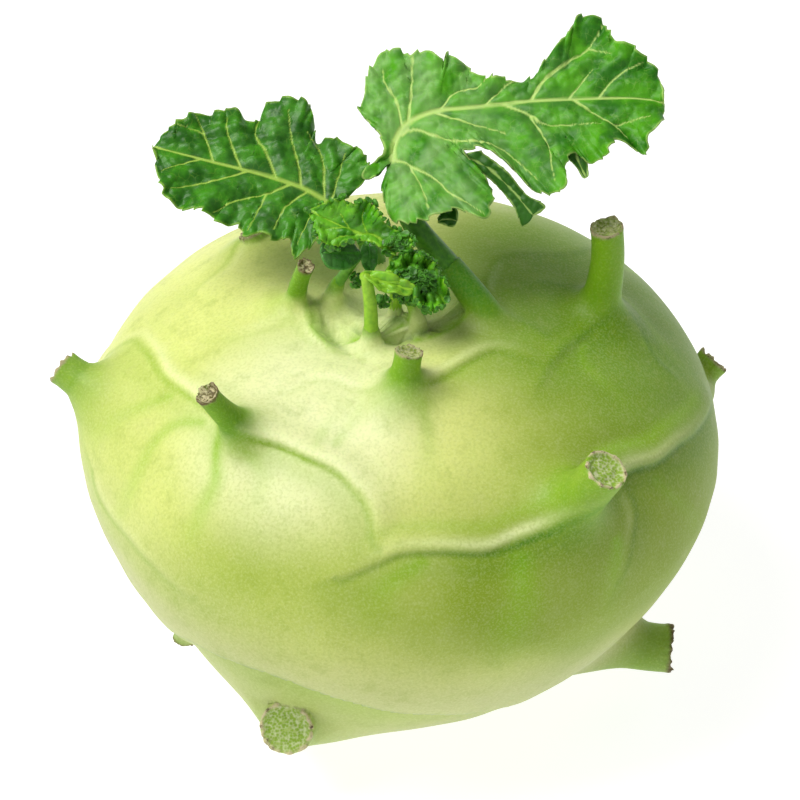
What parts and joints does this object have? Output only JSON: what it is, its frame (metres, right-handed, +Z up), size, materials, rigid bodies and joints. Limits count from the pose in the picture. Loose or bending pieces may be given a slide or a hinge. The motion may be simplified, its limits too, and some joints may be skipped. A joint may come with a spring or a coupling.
{
  "type": "kohlrabi",
  "caption": "Round pale green kohlrabi bulb with cut leaf stalks, ridged leaf scars and a small tuft of young leaves on its crown.",
  "frame": {"origin": "centre of the small flat root cut that the bulb rests on", "axes": "+Z up through the crown; -Y towards the front, where the thick cut stalk and its long ridge face; +X to the right seen from the front"},
  "size_m": [0.0962, 0.0949, 0.0957],
  "materials": {
    "bulb_skin": "waxy pale green vegetable skin, semi-matte",
    "leaf_green": "living leaf with a faint waxy bloom",
    "young_green": "soft bright young leaf"
  },
  "bodies": {
    "root": {"bulb": "bulb_skin", "leaf_right": "leaf_green", "leaf_left": "leaf_green", "heart_leaf_front": "young_green", "heart_leaf_left": "young_green", "heart_leaf_spoon": "young_green"}
  },
  "joints": []
}
